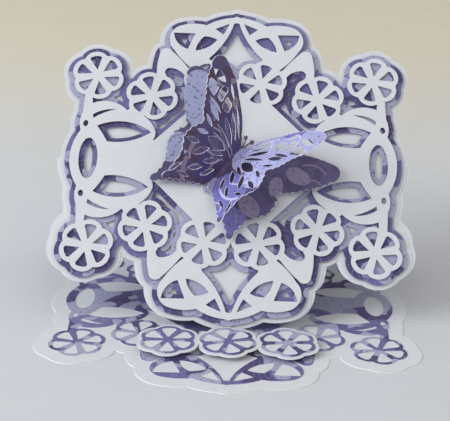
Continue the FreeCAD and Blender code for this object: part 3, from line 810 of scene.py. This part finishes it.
base_bend = butterfly_bend(rolled(2, 7, wave=0.4), rolled(1, 4, wave=0.4))
lace_bend = butterfly_bend(rolled(58, 43, wave=0.5, droop=1.0), rolled(47, 38, wave=0.4, droop=1.0),
                           height=LACE_HEIGHT)
base_fly = bent_paper("printed_butterfly", [base_outline], base_bend, FLY)
lace_fly = bent_paper("lace_butterfly", [lace_outline] + both_sides(fore_windows + hind_windows),
                      lace_bend, FLY)
for name, side in (("feeler_right", 1), ("feeler_left", -1)):
    strip = bent_paper(name, [feeler(side)], feeler_bend, FLY, step=0.5)
    strip.parent = lace_fly
print("faces:", len(base_fly.data.polygons), "and", len(lace_fly.data.polygons))

# %% [markdown]
# ## The butterfly's print: ovals and strokes
#
# The butterflies are cut from the same kind of paper, but on something so small each field counts. So we
# choose where the lighter ones fall, in the flat drawing's own coordinates, and the print bends with the
# wing. A painted image could hold it, but two shapes cover all that is needed. An oval is a place where a
# stretched distance is below 1, and a stroke is a thin ring, kept only near the points that it joins.

# %% Ovals and strokes
def oval(tree, place, middle, wide, high, turn=0.0):
    """The distance from an oval's middle: below 1 inside, above 1 outside."""
    moved = add(tree, "ShaderNodeMapping", {"vector_type": "TEXTURE"}, Vector=place,
                Location=(middle[0], middle[1], 0), Rotation=(0, 0, math.radians(turn)),
                Scale=(wide, high, 1))
    return place_maths(tree, "LENGTH", moved.outputs[0])


def stroke(tree, place, start, through, end, width):
    """1 on a printed line of a width that bends through three points, 0 beside it."""
    middle, radius = circle(start, through, end)
    from_ring = maths(tree, "SUBTRACT", oval(tree, place, middle, radius, radius), 1.0)
    on_ring = maths(tree, "LESS_THAN", maths(tree, "ABSOLUTE", from_ring), width / radius / 2)
    reach = (Vector(end) - Vector(start)).length / 2
    centre = (Vector(start) + Vector(end)) / 2
    near = maths(tree, "LESS_THAN", oval(tree, place, centre, reach, reach), 1.0)
    return maths(tree, "MULTIPLY", on_ring, near)


print("two shapes to print with: oval, stroke")

# %% [markdown]
# ## The butterfly's print: one way for both layers
#
# Under the ovals and strokes lies a ground of two dark tones that a noise parts into patches. The ovals
# get flecks of the ground, so they look printed and not stuck on. The strokes are a little see-through,
# as thin ink is. The rim, whose points carry the mark of the core, stays pale.

# %% Print on a butterfly
FLECK_INK = 0.7
STROKE_INK = 0.85


def butterfly_print(name, ground, patches, strokes, core, roughness):
    """Ovals and strokes over two ground tones.

    A patch is (colour, middle, half width, half height, turn), and a stroke is (colour, start, through,
    end, width), all in millimetres and degrees.
    """
    material, tree, shader = new_material(name)
    place = add(tree, "ShaderNodeAttribute", {"attribute_name": "drawn"}).outputs["Vector"]
    cloud = add(tree, "ShaderNodeTexNoise", {"noise_dimensions": "2D"},
                Vector=place, Scale=0.11, Detail=1.5)
    face = mixed(tree, step_between(tree, cloud.outputs["Fac"], low=0.485, high=0.505), *ground)
    mottle = add(tree, "ShaderNodeTexNoise", {"noise_dimensions": "2D"},
                 Vector=place, Scale=0.55, Detail=2.0)
    fleck = step_between(tree, mottle.outputs["Fac"], low=0.63, high=0.66)
    fleck = maths(tree, "MULTIPLY", fleck, FLECK_INK)
    for tone, middle, wide, high, turn in patches:
        inside = maths(tree, "LESS_THAN", oval(tree, place, middle, wide, high, turn), 1.0)
        face = mixed(tree, inside, face, mixed(tree, fleck, tone, ground[0]))
    for tone, start, through, end, width in strokes:
        line = stroke(tree, place, start, through, end, width)
        face = mixed(tree, maths(tree, "MULTIPLY", line, STROKE_INK), face, tone)
    rim = add(tree, "ShaderNodeAttribute", {"attribute_name": "core"}).outputs["Fac"]
    on_rim = step_between(tree, rim, low=0.5, high=0.7)
    connect(tree, mixed(tree, on_rim, face, core), shader.inputs["Base Color"])
    shader.inputs["Roughness"].default_value = roughness
    shader.inputs["Specular IOR Level"].default_value = 0.5
    connect(tree, paper_tooth(tree, place, scale=3.5, depth=0.012), shader.inputs["Normal"])
    return material


print("strokes let %.0f%% of the ground through" % (100 * (1 - STROKE_INK)))

# %% [markdown]
# ## The butterfly's print: the lower layer
#
# The lower butterfly is violet, with large lilac fields on its left wings and a few mauve ovals and arcs,
# most of them on its right ones. The body has a lighter streak at its end. The shapes are plain on
# purpose: they give the paper's colours and scale, and no picture of their own.

# %% Lower butterfly
LILAC = colour(152, 157, 194)
MAUVE = colour(126, 116, 144)
HAZE = colour(148, 142, 182)

base_print = butterfly_print(
    "violet_print_butterfly",
    ground=(colour(72, 62, 98), colour(82, 73, 114)),
    patches=[
        (LILAC, (-31, 14), 17.5, 10, 138),
        (LILAC, (-26.5, -13.5), 8.5, 6.5, 95),
        (MAUVE, (31, 12.6), 6.4, 4.2, 8),
        (MAUVE, (21.6, -14.6), 7, 4.4, -18),
        (MAUVE, (25.8, 1.4), 5.6, 3.4, 118),
        (colour(98, 92, 150), (20, -26), 8, 7, 0),
        (HAZE, (0, -20), 1.6, 4.0, 0),
    ],
    strokes=[
        (MAUVE, (29, 18.4), (35, 22.4), (41.5, 21.4), 0.8),
        (MAUVE, (36, 12), (38, 15.4), (42.6, 15.8), 0.8),
        (MAUVE, (12, -19), (17.5, -20.4), (22.5, -26.5), 0.7),
        (MAUVE, (-21, -3), (-27, -5.4), (-31, -12), 0.6),
    ],
    core=colour(196, 196, 214), roughness=0.5)
base_fly.data.materials.append(base_print)
print("%d nodes in the print of the lower butterfly" % len(base_print.node_tree.nodes))

# %% [markdown]
# ## The butterfly's print and painted light: the upper layer
#
# The lace is livelier. Its left wings are plum and deep violet with rose touches, and its right ones are
# lavender and clear blue. That split is partly the print and partly painted light: the left wings turn
# away from the window lamp, and their dark tones are partly painted shade, while the right wings turn
# towards it, and their light tones are partly a painted lit tone. Most strokes on the left are hazy and
# run out from the body as veins do, and those on the right are pale. This paper is a little less rough, so
# that its raised wings catch the light.

# %% Upper butterfly
# The dark tones on the left wings are partly painted shade, and the light tones on the right wings partly
# painted light, for the sides that turn from and to the window lamp.
PLUM = colour(78, 58, 86)
DEEP = colour(70, 62, 116)
ROSE = colour(144, 129, 150)
LAVENDER = colour(158, 160, 208)
BLUE = colour(114, 112, 182)
PALE = colour(198, 197, 240)

lace_print_and_painted_light = butterfly_print(
    "plum_print_and_painted_light",
    ground=(PLUM, colour(80, 69, 114)),
    patches=[
        # Left wings: darker patches, partly painted shade.
        (DEEP, (-14.5, 8), 8, 5.5, -25),
        (DEEP, (-11, -13), 6, 8, 40),
        (DEEP, (-21, -4), 5, 4, 0),
        (ROSE, (-22, 18.4), 3.2, 1.7, -35),
        (ROSE, (-31.6, 24), 1.8, 1.1, 10),
        # Right wings: lighter patches, partly painted light on the side that faces the lamp.
        (LAVENDER, (24, 12), 27, 14, 28),
        (BLUE, (27, 24), 7, 4, 25),
        (BLUE, (15, -20), 16, 12, -30),
        (colour(168, 171, 220), (25, -3), 9, 10, 0),
        (PLUM, (0, 12), 4.5, 4.2, 0),
        (HAZE, (0, -17), 1.6, 4.0, 0),
    ],
    strokes=[
        (ROSE, (-13.5, -28), (-21.6, -20), (-24.8, -9.4), 2.6),
        (ROSE, (-4.4, -4), (-7.6, -9.6), (-6.2, -16), 1.4),
        (HAZE, (-10.4, -7.4), (-16.2, -8.6), (-20.2, -14), 1.1),
        (ROSE, (-14.6, -16), (-17.4, -20.6), (-16.2, -25), 0.9),
        (HAZE, (-1.5, 1.0), (-12.3, 3.4), (-22.3, 1.5), 0.9),
        (HAZE, (-1.5, -0.6), (-11.3, 0.9), (-20.3, -0.2), 0.9),
        (HAZE, (-24, 4), (-29, 7.2), (-34.6, 8), 0.9),
        (HAZE, (-7.8, 8), (-13.3, 12.0), (-18.3, 14.8), 0.8),
        (HAZE, (-6.8, 3.8), (-13.3, 7.4), (-19.3, 9.4), 0.8),
        (HAZE, (-30.6, 20), (-35.4, 18), (-41, 20.6), 0.9),
        (PALE, (8, -17.6), (16.4, -21.4), (25.6, -19.6), 1.3),
        (PALE, (12, -13.4), (19, -12.4), (25.4, -7.6), 1.0),
        (PALE, (11.6, -27), (16.4, -25.4), (20, -29.4), 0.9),
        (HAZE, (0.8, 0.6), (7, 1.7), (13.3, 0.6), 0.9),
        (PALE, (15.6, 15.6), (19.4, 12.6), (20.2, 8), 0.9),
        (PALE, (28, 22.4), (33, 21), (32.6, 16.8), 0.9),
    ],
    core=colour(226, 224, 240), roughness=0.42)
for piece in [lace_fly] + list(lace_fly.children):
    piece.data.materials.append(lace_print_and_painted_light)
print("%d nodes in the print of the upper butterfly" % len(lace_print_and_painted_light.node_tree.nodes))

# %% [markdown]
# ## The butterfly joins the card
#
# Both layers stand for the flat butterflies of the model, which are hidden from here on. Paper folds have
# no joints, so everything belongs to one body.

# %% Join the card
for piece, node, slot in ((base_fly, "butterfly_base", "violet_print"),
                          (lace_fly, "butterfly_lace", "plum_print")):
    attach(piece, "root")
    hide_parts(node)
print("both butterflies are printed and stand on the card")

# %% [markdown]
# ## The floor
#
# The card stands on a plain pale sheet, like a studio sweep. A curved backdrop could hide the horizon,
# but the view is close enough for a large flat sheet to fill it. The sheet is cool in front and turns
# slowly to a warmer tone behind the card, so that the card's white rim stays readable against it. Very
# faint clouds keep it from being one flat colour.

# %% Floor
FLOOR_HALF = 4.0
SWEEP_START, SWEEP_END = 0.10, 0.60
FLOOR_NEAR = colour(200, 203, 210)
FLOOR_FAR = colour(210, 204, 187)
FLOOR_CLOUD = colour(184, 184, 184)
CLOUD_STRENGTH = 0.12

floor_mesh = bpy.data.meshes.new("floor")
floor_mesh.from_pydata(
    [(-FLOOR_HALF, -FLOOR_HALF, 0), (FLOOR_HALF, -FLOOR_HALF, 0),
     (FLOOR_HALF, FLOOR_HALF, 0), (-FLOOR_HALF, FLOOR_HALF, 0)], [], [(0, 1, 2, 3)])
floor = put_in_scene("floor", floor_mesh)

material, tree, shader = new_material("pale_floor")
place = add(tree, "ShaderNodeTexCoord").outputs["Object"]
depth = add(tree, "ShaderNodeSeparateXYZ", Vector=place).outputs["Y"]
sweep = mixed(tree, step_between(tree, depth, SWEEP_START, SWEEP_END), FLOOR_NEAR, FLOOR_FAR)
cloud = add(tree, "ShaderNodeTexNoise", Vector=place, Scale=14.0, Detail=5.0, Roughness=0.65)
shade = step_between(tree, cloud.outputs["Fac"], low=0.35, high=0.7)
shade = maths(tree, "MULTIPLY", shade, CLOUD_STRENGTH)
connect(tree, mixed(tree, shade, sweep, FLOOR_CLOUD), shader.inputs["Base Color"])
shader.inputs["Roughness"].default_value = 0.8
shader.inputs["Specular IOR Level"].default_value = 0.15
floor_mesh.materials.append(material)
print("floor, %.0f m across" % (2 * FLOOR_HALF))

# %% [markdown]
# ## Light
#
# Paper layers show by their soft shadows. One lamp alone would leave those shadows black, and a bright
# world alone would wash them out. So one large lamp from the left and above, like a window, throws them
# to the right, and an even world fills them. A weak lamp in front lifts the faces that turn to the
# viewer, and a weak warm one from behind on the right tints the floor there.

# %% Light
AIM = Vector((0, 0, 0.05))
WORLD_TINT = (1.0, 0.975, 0.935, 1)
WORLD_STRENGTH = 0.66


def soft_lamp(name, place, width, power, tint):
    """A square lamp that looks at the card."""
    lamp = bpy.data.lights.new(name, "AREA")
    lamp.shape = "SQUARE"
    lamp.size = width
    lamp.energy = power
    lamp.color = tint
    thing = put_in_scene(name, lamp)
    thing.location = place
    thing.rotation_euler = (AIM - Vector(place)).to_track_quat("-Z", "Y").to_euler()


soft_lamp("window_light", (-1.6, -0.6, 1.05), width=1.3, power=30.0, tint=(0.94, 0.985, 1.0))
soft_lamp("front_fill", (0.4, -1.1, 0.7), width=1.0, power=1.2, tint=(0.97, 0.98, 1.0))
soft_lamp("warm_fill", (1.1, 0.7, 0.45), width=0.9, power=1.6, tint=(1.0, 0.9, 0.7))

world = bpy.data.worlds.new("studio")
bpy.context.scene.world = world
world.use_nodes = True
sky = world.node_tree.nodes["Background"]
sky.inputs["Color"].default_value = WORLD_TINT
sky.inputs["Strength"].default_value = WORLD_STRENGTH
bpy.context.scene.view_settings.view_transform = "Standard"
print("one window lamp, a front fill, a warm fill from behind and an even world")

# %% [markdown]
# ## Camera
#
# A close view from a little above, tilted by a degree, as if held by hand. The lens is long, so the
# card's sides stay almost parallel. A constraint could aim the camera at the card, but it can't tilt the
# view. So we turn the camera in three steps: sideways, down, and about its own line of sight.

# %% Camera
LENS = 93.24
STAND = Vector((0.0038, -0.5244, 0.2586))
YAW, PITCH, ROLL = -0.0132, 0.3786, 0.0218

camera = bpy.data.cameras.new("camera")
camera.sensor_width = 36.0
camera.lens = LENS
viewer = put_in_scene("camera", camera)
forward = Vector((math.sin(YAW) * math.cos(PITCH), math.cos(YAW) * math.cos(PITCH), -math.sin(PITCH)))
level = Vector((math.cos(YAW), -math.sin(YAW), 0))
upright = level.cross(forward)
right = math.cos(ROLL) * level + math.sin(ROLL) * upright
upward = math.cos(ROLL) * upright - math.sin(ROLL) * level
turn = Matrix((right, upward, -forward)).transposed()
viewer.matrix_world = Matrix.Translation(STAND) @ turn.to_4x4()
bpy.context.scene.camera = viewer
print("camera %.0f mm in front, looking down %.1f degrees" % (-STAND.y / MM, math.degrees(PITCH)))
